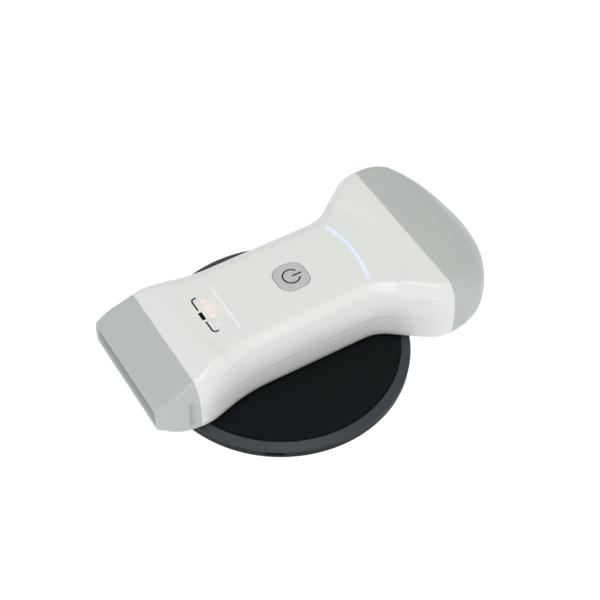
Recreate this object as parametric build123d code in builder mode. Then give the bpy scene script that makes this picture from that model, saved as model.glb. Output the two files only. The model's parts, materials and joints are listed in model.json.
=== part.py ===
from build123d import *
import os
from math import atan2, cos, degrees, radians, sin, sqrt, tan

# Cordless two-ended ultrasound scanner lying on its round charging pad.
# The row frame has its origin on the floor under the pad's centre, +X along the scanner towards its
# convex end and +Z up. The scanner's own u and w run along X and Y from the centre of its button.

os.makedirs("parts", exist_ok=True)

# ---------------------------------------------------------------- driving dimensions, mm
# charging pad
pad_radius = 50.0
pad_height = 6.0
pad_floor = 1.0
pad_wall = 1.6
foot_thickness = 0.3
foot_margin = 6.0
ring_width = 3.7
ring_height = 2.0
ring_rim_drop = 1.6
ring_overhang = 0.1
ring_below_mat = 0.15
mat_thickness = 1.0
mat_groove = 0.35
cover_thickness = 1.0
pad_screw_margin = 5.0
socket_angle = -123.0
socket_width = 7.4
socket_depth = 5.4
socket_slot_height = 1.1
socket_slot_corner = 0.45
socket_lift = 0.1
socket_shell_corner = 0.6
pad_board_lift = 0.8
coil_outer = 22.0
coil_inner = 11.0
coil_height = 1.2
ferrite_margin = 2.0
ring_bevel = 0.6
base_undercut = 0.5
base_draft = 0.1
mat_rim_radius = 0.25
pad_screw_angle = 57.0
pad_screw_radius = 0.9
pad_screw_head = 0.6
pad_screw_head_radius = 1.9
pad_screw_bite = 2.9
pad_boss_radius = 2.4
pad_board_thickness = 0.8
pad_board_width = 22.0
pad_board_clearance = 2.0
pad_board_setback = 1.4
pad_chip_height = 0.8
pad_chip_length = 4.0
pad_chip_width = 5.0
pad_chips_at = ((0.25, -5.5), (0.3, 6.0), (0.68, 0.0))
socket_wall = 0.3
socket_tongue = 0.4
socket_tongue_width = 4.4
socket_back = 1.1

# where the scanner's button stands over the pad
scanner_x = 8.2
scanner_y = 6.4

# casing, seen from above
lens_front_u = -70.3
linear_seam_u = -54.3
shoulder_u = -50.6
waist_start_u = -29.5
waist_end_u = 24.4
head_side_length = 10.34
convex_seam_u = 49.4
apex_u = 78.5
nose_half_width = 24.6
shoulder_half_width = 28.4
waist_half_width = 23.4
head_half_width = 38.0
shoulder_radius = 40.0
waist_radius = 60.0
flare_radius = 15.0
head_radius = 14.0
corner_radius = 16.0
apex_radius = 50.0

# casing, seen from the side
top_height = 14.5
bottom_height = 12.4
nose_front_half = 5.0
nose_slope = 23.0
nose_blend_radius = 24.0
apex_half = 9.0
head_blend_u = 47.0
head_blend_radius = 40.0
edge_radius = 4.5
nose_corner_radius = 2.0
wall = 2.0

# seams and seals
lip_wall = 0.9
lip_height = 1.6
gasket_height = 0.6
seam_gap = 0.05
seal_thickness = 0.6
seal_wall = 1.0
spigot_gap = 0.1
spigot_wall = 1.2
spigot_length = 3.5

# power button
button_size = 13.4
button_corner = 4.5
button_gap = 0.15
button_proud = 0.2
button_travel = 0.5
flange_step = 0.8
flange_thickness = 1.3
flange_gap = 0.05
stem_radius = 1.8
retainer_rim = 1.55
retainer_lip = 0.8
retainer_hold = 2.0
retainer_clearance = 0.25
gasket_thickness = 0.3
switch_size = 5.0
switch_height = 2.2
plunger_radius = 1.2
plunger_gap = 0.08
switch_floor = 0.3
button_rim_radius = 0.15

# lamps on the top face
arc_apex_u = 27.1
arc_radius = 46.7
arc_half_angle = 19.6
arc_width = 1.4
bar_u = -28.55
bar_length = 23.0
bar_width = 1.2
dot_u = -34.4
dot_centre_w = 0.15
dot_pitch = 4.0
dot_count = 4
dot_length = 1.8
dot_width = 1.4
guide_gap = 0.05
guide_flange = 0.7
guide_flange_height = 0.8
led_height = 0.7
led_length = 1.6
led_width = 0.8
arc_led_step = 7.4
bar_led_step = 7.6
led_clearance = 0.5

# inside the casing, from the bottom up
receiver_u = -8.2
receiver_outer = 16.5
receiver_inner = 8.0
receiver_height = 0.8
ferrite_height = 0.6
foam_height = 1.0
foam_margin = 3.0
battery_height = 6.9
battery_start_u = -40.0
battery_end_u = 20.0
battery_clearance = 0.2
tray_thickness = 1.2
tray_side_gap = 1.0
tray_start_u = -44.0
tray_end_u = 24.0
tray_skirt = 1.0
tray_skirt_height = 4.8
tray_corner = 3.0
tray_boss_height = 2.2
tray_boss_radius = 2.0
board_thickness = 1.2
board_start_u = -44.0
board_end_u = 34.0
board_half_width = 15.2
board_corner = 2.0
board_screw_u = (-40.0, 20.0)
board_screw_w = 12.0
chassis_screw_u = (-32.0, 17.0)
chassis_boss_radius = 2.0
screw_radius = 0.8
screw_head_radius = 1.5
screw_head_height = 0.9
screw_recess_share = 0.45
screw_recess_depth_share = 0.5
thread_gap = 0.05
hole_gap = 0.2
chassis_screw_bite = 5.0
board_screw_bite = 2.8
battery_edge = 2.0
coil_rib = 0.9
chip_height = 1.0
chips = ((10.0, 6.5, 8.0), (10.0, -6.5, 7.0), (18.0, 0.0, 5.0), (-16.0, 0.0, 11.0))
shield_u = -16.0
shield_length = 15.0
shield_width = 20.0
shield_height = 2.0
shield_wall = 0.25
shield_corner = 1.0
antenna_u = 5.0
antenna_w = 12.8
antenna_length = 9.0
antenna_width = 3.0

# transducers
linear_half_length = 23.0
linear_half_height = 4.0
convex_half_height = 4.6
convex_half_angle = 37.0
lens_proud = 0.2
lens_thickness = 1.6
lens_gap = 0.05
matching_thickness = 0.6
piezo_thickness = 0.5
layer_trim = 0.2
lens_angle_gap = 0.1
flex_bend = 3.0
linear_backing_depth = 8.0
convex_backing_depth = 9.0
flex_thickness = 0.3
flex_half_width = 9.5
connector_depth = 3.0
connector_height = 1.6
connector_ends = 1.0
flex_overlap = 1.0
flex_straight = 5.0

cut_over = 1.0

# ---------------------------------------------------------------- sizes that follow from them
tray_half_width = waist_half_width - wall - tray_side_gap
chassis_screw_w = tray_half_width - chassis_boss_radius
skirt_outer = chassis_screw_w - screw_head_radius - hole_gap
skirt_inner = skirt_outer - tray_skirt
battery_width = 2 * (skirt_inner - battery_clearance)
body_bottom = pad_height
mid_z = body_bottom + bottom_height
body_top = mid_z + top_height
inner_bottom = body_bottom + wall
inner_top = body_top - wall
receiver_top = inner_bottom + receiver_height
ferrite_top = receiver_top + ferrite_height
foam_top = ferrite_top + foam_height
battery_top = foam_top + battery_height
tray_bottom = battery_top + battery_clearance
tray_top = tray_bottom + tray_thickness
board_bottom = tray_top + tray_boss_height
board_top = board_bottom + board_thickness
guide_bottom = board_top + led_height + led_clearance
flange_top = inner_top - flange_gap
flange_bottom = flange_top - flange_thickness
retainer_lip_top = flange_bottom - button_travel - flange_gap
flange_size = button_size + 2 * flange_step
retainer_pocket = flange_size + 2 * retainer_clearance
retainer_size = retainer_pocket + 2 * retainer_rim
retainer_opening = flange_size - 2 * retainer_hold
plunger_top = board_top + switch_height + button_travel + flange_gap
plunger_bottom = board_top + switch_floor + button_travel + flange_gap

foot_radius = pad_radius - foot_margin
pad_screw_circle = foot_radius - pad_screw_margin
base_bottom = foot_thickness
base_inner = base_bottom + pad_floor
cover_bottom = pad_height - mat_thickness - cover_thickness
cover_top = cover_bottom + cover_thickness
ring_top = pad_height - ring_below_mat
ring_bottom = ring_top - ring_height
ring_inner = pad_radius - ring_width
base_radius = pad_radius - ring_overhang
tray_radius = base_radius - pad_wall
cover_radius = ring_inner - seam_gap
pad_board_bottom = base_inner + pad_board_lift
socket_bottom = base_inner + socket_lift
socket_top = cover_bottom - seam_gap
socket_z = (socket_bottom + socket_top) / 2


def above(z):
    """Plane of the scanner's own u and w at a height above the floor."""
    return Plane(origin=(scanner_x, scanner_y, z))


def lengthwise(w=0.0):
    """Upright plane along the scanner: local x is u and local y is the height over the parting line."""
    return Plane(origin=(scanner_x, scanner_y + w, mid_z), x_dir=(1, 0, 0), z_dir=(0, -1, 0))


def across(u):
    """Upright plane across the scanner: local x is w and local y is the height over the parting line."""
    return Plane(origin=(scanner_x + u, scanner_y, mid_z), x_dir=(0, 1, 0), z_dir=(1, 0, 0))


# ---------------------------------------------------------------- outer form of the casing
apex_centre_u = apex_u - apex_radius
corner_centre_w = head_half_width - corner_radius
corner_reach = sqrt((apex_radius - corner_radius) ** 2 - corner_centre_w**2)
corner_centre_u = apex_centre_u + corner_reach
head_start_u = corner_centre_u - head_side_length
apex_angle = degrees(atan2(corner_centre_w, corner_reach))
nose_overrun = 12.0
nose_side_slope = (shoulder_half_width - nose_half_width) / (shoulder_u - lens_front_u)


def plan_outline(inset=0.0):
    """The casing's outline from above, with its narrow end run on past the lens."""
    start_u = lens_front_u - nose_overrun
    start_w = nose_half_width - nose_side_slope * nose_overrun
    with BuildSketch() as outline:
        with BuildLine():
            FilletPolyline(
                (start_u, 0),
                (start_u, start_w),
                (shoulder_u, shoulder_half_width),
                (waist_start_u, waist_half_width),
                (waist_end_u, waist_half_width),
                (head_start_u, head_half_width),
                (corner_centre_u, head_half_width),
                radius=(edge_radius + wall, shoulder_radius, waist_radius, flare_radius, head_radius),
            )
            CenterArc((corner_centre_u, corner_centre_w), corner_radius, 90, apex_angle - 90)
            CenterArc((apex_centre_u, 0), apex_radius, apex_angle, -apex_angle)
            mirror(about=Plane.XZ)
        make_face()
        if inset:
            offset(amount=-inset)
    return outline.sketch


def side_outline(inset=0.0):
    """The casing's outline from the side: a wedge at the linear end and a taper at the convex one."""
    rise = tan(radians(nose_slope))
    top_u = lens_front_u + (top_height - nose_front_half) / rise
    low_u = lens_front_u + (bottom_height - nose_front_half) / rise
    reach = (apex_u + nose_overrun - head_blend_u) / (apex_u - head_blend_u)
    end_u = head_blend_u + reach * (apex_u - head_blend_u)
    end_top = top_height - reach * (top_height - apex_half)
    end_low = bottom_height - reach * (bottom_height - apex_half)
    with BuildSketch() as outline:
        with BuildLine():
            FilletPolyline(
                (lens_front_u, nose_front_half),
                (top_u, top_height),
                (head_blend_u, top_height),
                (end_u, end_top),
                (end_u, -end_low),
                (head_blend_u, -bottom_height),
                (low_u, -bottom_height),
                (lens_front_u, -nose_front_half),
                close=True,
                radius=(0, nose_blend_radius, head_blend_radius, 0, 0, head_blend_radius, nose_blend_radius, 0),
            )
        make_face()
        if inset:
            offset(amount=-inset)
    return outline.sketch


def casing_form(inset=0.0):
    """Solid inside the casing's outer face, or that face moved inwards by the inset."""
    plan = plan_outline(inset)
    profile = side_outline(inset)
    with BuildPart() as form:
        with BuildSketch(above(body_bottom + inset)):
            add(plan)
        extrude(amount=top_height + bottom_height - 2 * inset)
        rims = form.faces().filter_by(Axis.Z).edges()
        fillet(rims, radius=edge_radius - inset)
        with BuildSketch(lengthwise()):
            add(profile)
        extrude(amount=2 * head_half_width, both=True, mode=Mode.INTERSECT)
        if inset < nose_corner_radius / 2:
            corners = form.edges().filter_by(Axis.Z).group_by(Axis.X)[0]
            fillet(corners, radius=nose_corner_radius - inset)
    return form.part


outer_form = casing_form()
seal_form = casing_form(seal_wall)
inner_form = casing_form(wall)
spigot_form = casing_form(wall + spigot_gap)
spigot_bore = casing_form(wall + spigot_gap + spigot_wall)
lip_form = casing_form(wall - lip_wall)
lip_recess_plan = plan_outline(wall - lip_wall - seam_gap)


def sleeve(outside, inside, low_u, high_u):
    """Wall between two forms, over a stretch along the scanner."""
    with BuildPart() as piece:
        add(outside)
        add(inside, mode=Mode.SUBTRACT)
        split(bisect_by=across(low_u), keep=Keep.TOP)
        split(bisect_by=across(high_u), keep=Keep.BOTTOM)
    return piece.part


def lamp_outlines(grow):
    """The lamps on the top face, each grown on all sides: the arc, the bar and the four dots."""
    with BuildSketch() as arc:
        with BuildLine() as middle:
            CenterArc((arc_apex_u - arc_radius, 0), arc_radius, -arc_half_angle, 2 * arc_half_angle)
        SlotArc(middle.edges()[0], arc_width + 2 * grow)
    with BuildSketch() as bar:
        with Locations((bar_u, 0)):
            SlotOverall(bar_length + 2 * grow, bar_width + 2 * grow, rotation=90)
    with BuildSketch() as dots:
        with Locations((dot_u, dot_centre_w)):
            with GridLocations(dot_pitch, dot_pitch, 1, dot_count):
                SlotOverall(dot_length + 2 * grow, dot_width + 2 * grow, rotation=90)
    return arc.sketch, bar.sketch, dots.sketch


def finish(part, name):
    """Label a finished piece and write it to its own file."""
    part.label = name
    export_step(part, f"parts/{name}.step")


arc_face, bar_face, dots_face = lamp_outlines(0)
arc_hole, bar_hole, dots_hole = lamp_outlines(guide_gap)
arc_foot, bar_foot, dots_foot = lamp_outlines(guide_flange)
chassis_screws_at = [(u, w) for u in chassis_screw_u for w in (-chassis_screw_w, chassis_screw_w)]
board_screws_at = [(u, w) for u in board_screw_u for w in (-board_screw_w, board_screw_w)]

# ---------------------------------------------------------------- casing
casing_wall = sleeve(outer_form, inner_form, linear_seam_u, convex_seam_u)

with BuildPart() as upper_shell:
    add(casing_wall)
    split(bisect_by=above(mid_z), keep=Keep.TOP)
    # the lower shell's lip and the gasket over it run up inside the wall
    with BuildSketch(above(mid_z)):
        add(lip_recess_plan)
    extrude(amount=lip_height + gasket_height, mode=Mode.SUBTRACT)
    # pillars that the chassis tray is screwed to
    with BuildSketch(above(tray_top)):
        with Locations(chassis_screws_at):
            Circle(chassis_boss_radius)
    extrude(amount=inner_top + wall / 2 - tray_top)
    with BuildSketch(above(tray_top)):
        with Locations(chassis_screws_at):
            Circle(screw_radius + thread_gap)
    extrude(amount=chassis_screw_bite + thread_gap, mode=Mode.SUBTRACT)
    # openings in the top face
    with BuildSketch(above(inner_top - cut_over)):
        RectangleRounded(button_size + 2 * button_gap, button_size + 2 * button_gap, button_corner + button_gap)
        add(arc_hole)
        add(bar_hole)
        add(dots_hole)
    extrude(amount=wall + 2 * cut_over, mode=Mode.SUBTRACT)
finish(upper_shell.part, "upper_shell")

lip_strip = sleeve(lip_form, inner_form, linear_seam_u, convex_seam_u)

with BuildPart() as lower_shell:
    add(casing_wall)
    split(bisect_by=above(mid_z), keep=Keep.BOTTOM)
    # lip that stands up inside the upper shell
    add(lip_strip)
    split(bisect_by=above(mid_z + lip_height), keep=Keep.BOTTOM)
    # rib that holds the receiver coil in its place
    with BuildSketch(above(inner_bottom)):
        with Locations((receiver_u, 0)):
            Circle(receiver_outer + coil_rib)
            Circle(receiver_outer + hole_gap, mode=Mode.SUBTRACT)
    extrude(amount=receiver_height)
finish(lower_shell.part, "lower_shell")

with BuildPart() as shell_gasket:
    add(lip_strip)
    split(bisect_by=above(mid_z + lip_height), keep=Keep.TOP)
    split(bisect_by=above(mid_z + lip_height + gasket_height), keep=Keep.BOTTOM)
finish(shell_gasket.part, "shell_gasket")

# ---------------------------------------------------------------- linear end
lens_outer_u = lens_front_u - lens_proud
matching_u = lens_front_u + lens_thickness
piezo_u = matching_u + matching_thickness
backing_u = piezo_u + piezo_thickness
backing_end_u = backing_u + linear_backing_depth

linear_wall = sleeve(outer_form, inner_form, lens_outer_u, linear_seam_u)
linear_seat = sleeve(seal_form, inner_form, linear_seam_u - seal_thickness, linear_seam_u)
linear_collar = sleeve(inner_form, spigot_bore, linear_seam_u - spigot_length, linear_seam_u)
linear_spigot = sleeve(spigot_form, spigot_bore, linear_seam_u, linear_seam_u + spigot_length)

with BuildPart() as linear_nose:
    add(linear_wall)
    add(linear_seat, mode=Mode.SUBTRACT)
    # collar and spigot that slide into the two shells
    add(linear_collar)
    add(linear_spigot)
    # window for the lens
    with BuildSketch(across(lens_outer_u)):
        Rectangle(2 * (linear_half_length + lens_gap), 2 * (linear_half_height + lens_gap))
    extrude(amount=lens_proud + 2 * wall, mode=Mode.SUBTRACT)
finish(linear_nose.part, "linear_nose")

with BuildPart() as linear_nose_seal:
    add(linear_seat)
finish(linear_nose_seal.part, "linear_nose_seal")


def linear_layer(start_u, end_u, trim):
    """A straight layer of the linear transducer; each one behind the lens is a little smaller."""
    with BuildPart() as layer:
        with BuildSketch(across(start_u)):
            Rectangle(2 * (linear_half_length - trim), 2 * (linear_half_height - trim))
        extrude(amount=end_u - start_u)
    return layer.part


with BuildPart() as linear_lens:
    add(linear_layer(lens_outer_u, matching_u, 0))
    front_rim = linear_lens.faces().sort_by(Axis.X)[0].edges()
    chamfer(front_rim, length=lens_proud)
finish(linear_lens.part, "linear_lens")

finish(linear_layer(matching_u, piezo_u, layer_trim), "linear_matching_layer")
finish(linear_layer(piezo_u, backing_u, layer_trim), "linear_piezo_array")
finish(linear_layer(backing_u, backing_end_u, layer_trim), "linear_backing_block")

# ---------------------------------------------------------------- convex end
convex_lens_outer = apex_radius + lens_proud
convex_matching = apex_radius - lens_thickness
convex_piezo = convex_matching - matching_thickness
convex_backing = convex_piezo - piezo_thickness
convex_backing_end = convex_backing - convex_backing_depth


def convex_layer(outer, inner, angle_trim, trim):
    """A bent layer of the convex transducer, about the axis of the apex arc."""
    half_angle = convex_half_angle - angle_trim
    reach = outer / cos(radians(half_angle))
    half_height = convex_half_height - trim
    with BuildPart() as layer:
        with BuildSketch(above(mid_z - half_height)):
            with Locations((apex_centre_u, 0)):
                Circle(outer)
                Circle(inner, mode=Mode.SUBTRACT)
            with BuildLine():
                Polyline(
                    (apex_centre_u, 0),
                    (apex_centre_u + reach * cos(radians(half_angle)), -reach * sin(radians(half_angle))),
                    (apex_centre_u + 2 * outer, 0),
                    (apex_centre_u + reach * cos(radians(half_angle)), reach * sin(radians(half_angle))),
                    close=True,
                )
            make_face(mode=Mode.INTERSECT)
        extrude(amount=2 * half_height)
    return layer.part


convex_wall = sleeve(outer_form, inner_form, convex_seam_u, apex_u + 1)
convex_seat = sleeve(seal_form, inner_form, convex_seam_u, convex_seam_u + seal_thickness)
convex_collar = sleeve(inner_form, spigot_bore, convex_seam_u, convex_seam_u + spigot_length)
convex_spigot = sleeve(spigot_form, spigot_bore, convex_seam_u - spigot_length, convex_seam_u)
convex_window = convex_layer(apex_radius + wall, apex_radius - 2 * wall, -lens_angle_gap, -lens_gap)

with BuildPart() as convex_nose:
    add(convex_wall)
    add(convex_seat, mode=Mode.SUBTRACT)
    add(convex_collar)
    add(convex_spigot)
    add(convex_window, mode=Mode.SUBTRACT)
finish(convex_nose.part, "convex_nose")

with BuildPart() as convex_nose_seal:
    add(convex_seat)
finish(convex_nose_seal.part, "convex_nose_seal")

finish(convex_layer(convex_lens_outer, convex_matching, 0, 0), "convex_lens")
finish(convex_layer(convex_matching, convex_piezo, layer_trim, layer_trim), "convex_matching_layer")
finish(convex_layer(convex_piezo, convex_backing, layer_trim, layer_trim), "convex_piezo_array")
finish(convex_layer(convex_backing, convex_backing_end, layer_trim, layer_trim), "convex_backing_block")

# ---------------------------------------------------------------- power button and its switch
with BuildPart() as power_button:
    with BuildSketch(above(flange_bottom)):
        RectangleRounded(flange_size, flange_size, button_corner)
    extrude(amount=flange_thickness)
    with BuildSketch(above(flange_top)):
        RectangleRounded(button_size, button_size, button_corner)
    extrude(amount=body_top + button_proud - flange_top)
    top_rim = power_button.faces().sort_by(Axis.Z)[-1].edges()
    fillet(top_rim, radius=button_rim_radius)
    with BuildSketch(above(plunger_top)):
        Circle(stem_radius)
    extrude(amount=flange_bottom - plunger_top)
finish(power_button.part, "power_button")

with BuildPart() as switch_plunger:
    with BuildSketch(above(plunger_bottom)):
        Circle(plunger_radius)
    extrude(amount=plunger_top - plunger_bottom)
finish(switch_plunger.part, "switch_plunger")

with BuildPart() as power_switch:
    with BuildSketch(above(board_top)):
        Rectangle(switch_size, switch_size)
    extrude(amount=switch_height)
    with BuildSketch(above(board_top + switch_height)):
        Circle(plunger_radius + plunger_gap)
    extrude(amount=-(switch_height - switch_floor), mode=Mode.SUBTRACT)
finish(power_switch.part, "power_switch")

with BuildPart() as button_gasket:
    with BuildSketch(above(inner_top - gasket_thickness)):
        RectangleRounded(retainer_size, retainer_size, button_corner)
        RectangleRounded(retainer_pocket, retainer_pocket, button_corner, mode=Mode.SUBTRACT)
    extrude(amount=gasket_thickness)
finish(button_gasket.part, "button_gasket")

with BuildPart() as button_retainer:
    with BuildSketch(above(retainer_lip_top - retainer_lip)):
        RectangleRounded(retainer_size, retainer_size, button_corner)
        RectangleRounded(retainer_opening, retainer_opening, button_corner, mode=Mode.SUBTRACT)
    extrude(amount=inner_top - gasket_thickness - retainer_lip_top + retainer_lip)
    with BuildSketch(above(retainer_lip_top)):
        RectangleRounded(retainer_pocket, retainer_pocket, button_corner)
    extrude(amount=inner_top - retainer_lip_top, mode=Mode.SUBTRACT)
finish(button_retainer.part, "button_retainer")

# ---------------------------------------------------------------- light guides and their lamps


def light_guide(face, foot):
    """A clear rod from just over the lamps to the top face, with a foot under the shell."""
    with BuildPart() as guide:
        with BuildSketch(above(guide_bottom)):
            add(face)
        extrude(amount=body_top - guide_bottom)
        with BuildSketch(above(inner_top - guide_flange_height)):
            add(foot)
        extrude(amount=guide_flange_height)
    return guide.part


finish(light_guide(arc_face, arc_foot), "light_guide_arc")
finish(light_guide(bar_face, bar_foot), "light_guide_bar")
finish(light_guide(dots_face, dots_foot), "charge_light_pipe")

arc_centre_u = arc_apex_u - arc_radius
arc_led_angles = [arc_led_step * n for n in range(-2, 3)]
arc_leds_at = [
    (arc_centre_u + arc_radius * cos(radians(a)), arc_radius * sin(radians(a))) for a in arc_led_angles
]
bar_leds_at = [(bar_u, bar_led_step * n) for n in range(-1, 2)]
dot_leds_at = [(dot_u, dot_centre_w + dot_pitch * (n - (dot_count - 1) / 2)) for n in range(dot_count)]

with BuildPart() as status_leds:
    with BuildSketch(above(board_top)):
        with Locations(arc_leds_at + bar_leds_at + dot_leds_at):
            Rectangle(led_length, led_width, rotation=90)
    extrude(amount=led_height)
finish(status_leds.part, "status_leds")

# ---------------------------------------------------------------- boards, tray and battery
board_length = board_end_u - board_start_u
board_middle_u = (board_start_u + board_end_u) / 2

with BuildPart() as main_board:
    with BuildSketch(above(board_bottom)):
        with Locations((board_middle_u, 0)):
            RectangleRounded(board_length, 2 * board_half_width, board_corner)
        with Locations(board_screws_at):
            Circle(screw_radius + hole_gap, mode=Mode.SUBTRACT)
    extrude(amount=board_thickness)
finish(main_board.part, "main_board")

with BuildPart() as board_chips:
    with BuildSketch(above(board_top)):
        for u, w, size in chips:
            with Locations((u, w)):
                Rectangle(size, size)
    extrude(amount=chip_height)
finish(board_chips.part, "board_chips")

with BuildPart() as shield_can:
    with BuildSketch(above(board_top)):
        with Locations((shield_u, 0)):
            RectangleRounded(shield_length, shield_width, shield_corner)
    extrude(amount=shield_height)
    openings = shield_can.faces().sort_by(Axis.Z)[0]
    offset(amount=-shield_wall, openings=openings)
finish(shield_can.part, "shield_can")

with BuildPart() as wifi_antenna:
    with BuildSketch(above(board_top)):
        with Locations((antenna_u, antenna_w)):
            Rectangle(antenna_length, antenna_width)
    extrude(amount=led_height)
finish(wifi_antenna.part, "wifi_antenna")

with BuildPart() as flex_connectors:
    with BuildSketch(above(board_top)):
        with Locations((board_start_u + connector_depth / 2, 0), (board_end_u - connector_depth / 2, 0)):
            Rectangle(connector_depth, 2 * flex_half_width + connector_ends)
    extrude(amount=connector_height)
finish(flex_connectors.part, "flex_connectors")


def flex_circuit(points):
    """A flat ribbon from a transducer to its connector, bent along its way."""
    with BuildPart() as ribbon:
        with BuildSketch(lengthwise()):
            with BuildLine() as route:
                FilletPolyline(points, radius=flex_bend)
            trace(route.edges(), line_width=flex_thickness)
        extrude(amount=flex_half_width, both=True)
    return ribbon.part


flex_level = board_top + connector_height / 2 - mid_z
linear_flex_level = linear_half_height - layer_trim + flex_thickness / 2
convex_flex_level = convex_half_height - layer_trim + flex_thickness / 2
convex_flex_u = apex_centre_u + convex_backing - flex_bend
linear_flex = flex_circuit([
    (backing_u + flex_overlap, linear_flex_level),
    (backing_end_u + flex_overlap, linear_flex_level),
    (board_start_u - flex_straight, flex_level),
    (board_start_u, flex_level),
])
convex_flex = flex_circuit([
    (convex_flex_u, convex_flex_level),
    (convex_flex_u - convex_backing_depth, convex_flex_level),
    (convex_seam_u - 2 * spigot_length, flex_level),
    (board_end_u, flex_level),
])
finish(linear_flex, "linear_flex")
finish(convex_flex, "convex_flex")

tray_length = tray_end_u - tray_start_u
tray_middle_u = (tray_start_u + tray_end_u) / 2
battery_length = battery_end_u - battery_start_u
battery_middle_u = (battery_start_u + battery_end_u) / 2

with BuildPart() as chassis_tray:
    with BuildSketch(above(tray_bottom)):
        with Locations((tray_middle_u, 0)):
            RectangleRounded(tray_length, 2 * tray_half_width, tray_corner)
        with Locations(chassis_screws_at):
            Circle(screw_radius + hole_gap, mode=Mode.SUBTRACT)
    extrude(amount=tray_thickness)
    # walls down both sides of the battery
    with BuildSketch(above(tray_bottom)):
        with Locations((battery_middle_u, 0)):
            Rectangle(battery_length, 2 * skirt_outer)
            Rectangle(battery_length, 2 * skirt_inner, mode=Mode.SUBTRACT)
    extrude(amount=-tray_skirt_height)
    # posts under the main board
    with BuildSketch(above(tray_top)):
        with Locations(board_screws_at):
            Circle(tray_boss_radius)
    extrude(amount=tray_boss_height)
    with BuildSketch(above(board_bottom)):
        with Locations(board_screws_at):
            Circle(screw_radius + thread_gap)
    extrude(amount=-(board_screw_bite + thread_gap), mode=Mode.SUBTRACT)
finish(chassis_tray.part, "chassis_tray")

with BuildPart() as battery_cell:
    with BuildSketch(above(foam_top)):
        with Locations((battery_middle_u, 0)):
            Rectangle(battery_length, battery_width)
    extrude(amount=battery_height)
    long_edges = battery_cell.edges().filter_by(Axis.X)
    fillet(long_edges, radius=battery_edge)
finish(battery_cell.part, "battery_cell")

with BuildPart() as battery_foam:
    with BuildSketch(above(ferrite_top)):
        with Locations((battery_middle_u, 0)):
            Rectangle(battery_length - 2 * foam_margin, battery_width - 2 * foam_margin)
    extrude(amount=foam_height)
finish(battery_foam.part, "battery_foam")

with BuildPart() as receiver_coil:
    with BuildSketch(above(inner_bottom)):
        with Locations((receiver_u, 0)):
            Circle(receiver_outer)
            Circle(receiver_inner, mode=Mode.SUBTRACT)
    extrude(amount=receiver_height)
finish(receiver_coil.part, "receiver_coil")

with BuildPart() as receiver_ferrite:
    with BuildSketch(above(receiver_top)):
        with Locations((receiver_u, 0)):
            Circle(receiver_outer)
    extrude(amount=ferrite_height)
finish(receiver_ferrite.part, "receiver_ferrite")


def screws(head_plane, places, head_radius, head_height, bite, shaft_radius):
    """Pan-head screws: the heads stand on the plane and the shafts run back through it."""
    with BuildPart() as group:
        with BuildSketch(head_plane):
            with Locations(places):
                Circle(head_radius)
        extrude(amount=head_height)
        with BuildSketch(head_plane):
            with Locations(places):
                Circle(shaft_radius)
        extrude(amount=-bite)
        with BuildSketch(head_plane.offset(head_height)):
            with Locations(places):
                RegularPolygon(head_radius * screw_recess_share, 6)
        extrude(amount=-head_height * screw_recess_depth_share, mode=Mode.SUBTRACT)
    return group.part


tray_underside = Plane(origin=(scanner_x, scanner_y, tray_bottom), x_dir=(1, 0, 0), z_dir=(0, 0, -1))
finish(
    screws(tray_underside, chassis_screws_at, screw_head_radius, screw_head_height,
           tray_thickness + chassis_screw_bite, screw_radius),
    "chassis_screws",
)
finish(
    screws(above(board_top), board_screws_at, screw_head_radius, screw_head_height,
           board_thickness + board_screw_bite, screw_radius),
    "board_screws",
)

# ---------------------------------------------------------------- charging pad
socket_direction = (cos(radians(socket_angle)), sin(radians(socket_angle)), 0)


def inlet(z):
    """Level plane with its local x from the pad's axis out through the power inlet."""
    return Plane(origin=(0, 0, z), x_dir=socket_direction, z_dir=(0, 0, 1))


pad_underside = Plane(origin=(0, 0, base_bottom + pad_screw_head), x_dir=(1, 0, 0), z_dir=(0, 0, -1))
inlet_front = Plane(origin=(0, 0, socket_z), x_dir=(-socket_direction[1], socket_direction[0], 0),
                    z_dir=socket_direction)

with BuildPart() as pad_foot:
    Cylinder(foot_radius, foot_thickness, align=(Align.CENTER, Align.CENTER, Align.MIN))
finish(pad_foot.part, "pad_foot")

with BuildPart() as pad_base:
    with BuildSketch(Plane.XZ):
        with BuildLine():
            FilletPolyline(
                (0, base_bottom),
                (base_radius - base_undercut, base_bottom),
                (base_radius - base_draft, base_bottom + base_undercut),
                (base_radius, ring_bottom),
                (tray_radius, ring_bottom),
                (tray_radius, base_inner),
                (0, base_inner),
                close=True,
                radius=(0, base_undercut / 2, base_undercut / 2, 0, 0, 0, 0),
            )
        make_face()
    revolve(axis=Axis.Z)
    # sunk holes for the screws, all under the foot
    with BuildSketch(Plane.XY.offset(base_bottom)):
        with PolarLocations(pad_screw_circle, 3, start_angle=pad_screw_angle):
            Circle(pad_screw_head_radius + hole_gap)
    extrude(amount=pad_screw_head, mode=Mode.SUBTRACT)
    with BuildSketch(Plane.XY.offset(base_bottom)):
        with PolarLocations(pad_screw_circle, 3, start_angle=pad_screw_angle):
            Circle(pad_screw_radius + hole_gap)
    extrude(amount=pad_floor, mode=Mode.SUBTRACT)
    # slot in the rim for the power plug
    with BuildSketch(inlet_front.offset(tray_radius - pad_wall)):
        RectangleRounded(socket_width, socket_slot_height, socket_slot_corner)
    extrude(amount=4 * pad_wall, mode=Mode.SUBTRACT)
finish(pad_base.part, "pad_base")

with BuildPart() as pad_ring:
    with BuildSketch(Plane.XZ):
        with BuildLine():
            Polyline(
                (ring_inner, cover_bottom),
                (ring_inner, ring_top),
                (pad_radius - ring_bevel, ring_top - ring_rim_drop / 2),
                (pad_radius, ring_top - ring_rim_drop),
                (pad_radius, ring_bottom),
                (tray_radius - seam_gap, ring_bottom),
                (tray_radius - seam_gap, cover_bottom),
                close=True,
            )
        make_face()
    revolve(axis=Axis.Z)
finish(pad_ring.part, "pad_ring")

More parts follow.
